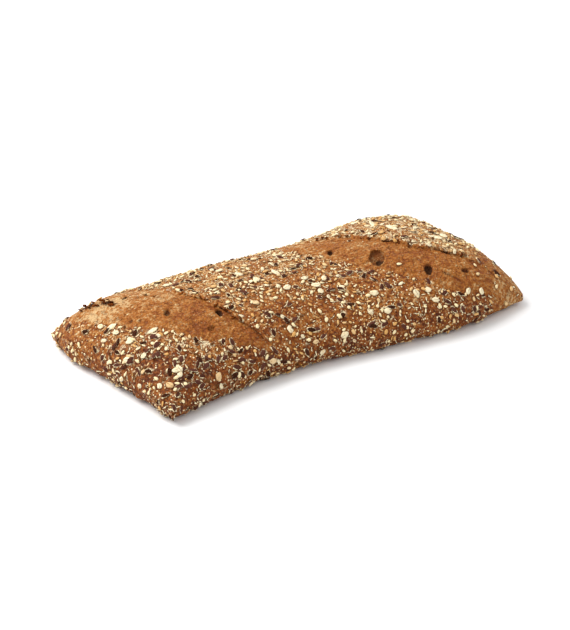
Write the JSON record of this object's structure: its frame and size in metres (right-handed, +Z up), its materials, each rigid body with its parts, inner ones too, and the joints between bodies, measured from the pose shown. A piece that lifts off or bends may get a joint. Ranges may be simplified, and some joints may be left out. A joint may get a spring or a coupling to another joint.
{
  "type": "multigrain baguette",
  "caption": "Short, flat, squared-off crusty loaf with two slanting slashes that opened in the oven, its crust set with seeds and flakes, lying on a flat base.",
  "frame": {"origin": "middle of the loaf's bounding box, on the surface it rests on", "axes": "+X along the loaf's length, towards its right-hand end as the picture shows it; +Y across it, away from the viewer; +Z up"},
  "size_m": [0.2706, 0.1303, 0.041],
  "materials": {
    "crust": null
  },
  "bodies": {
    "root": {"loaf": "crust"}
  },
  "joints": []
}
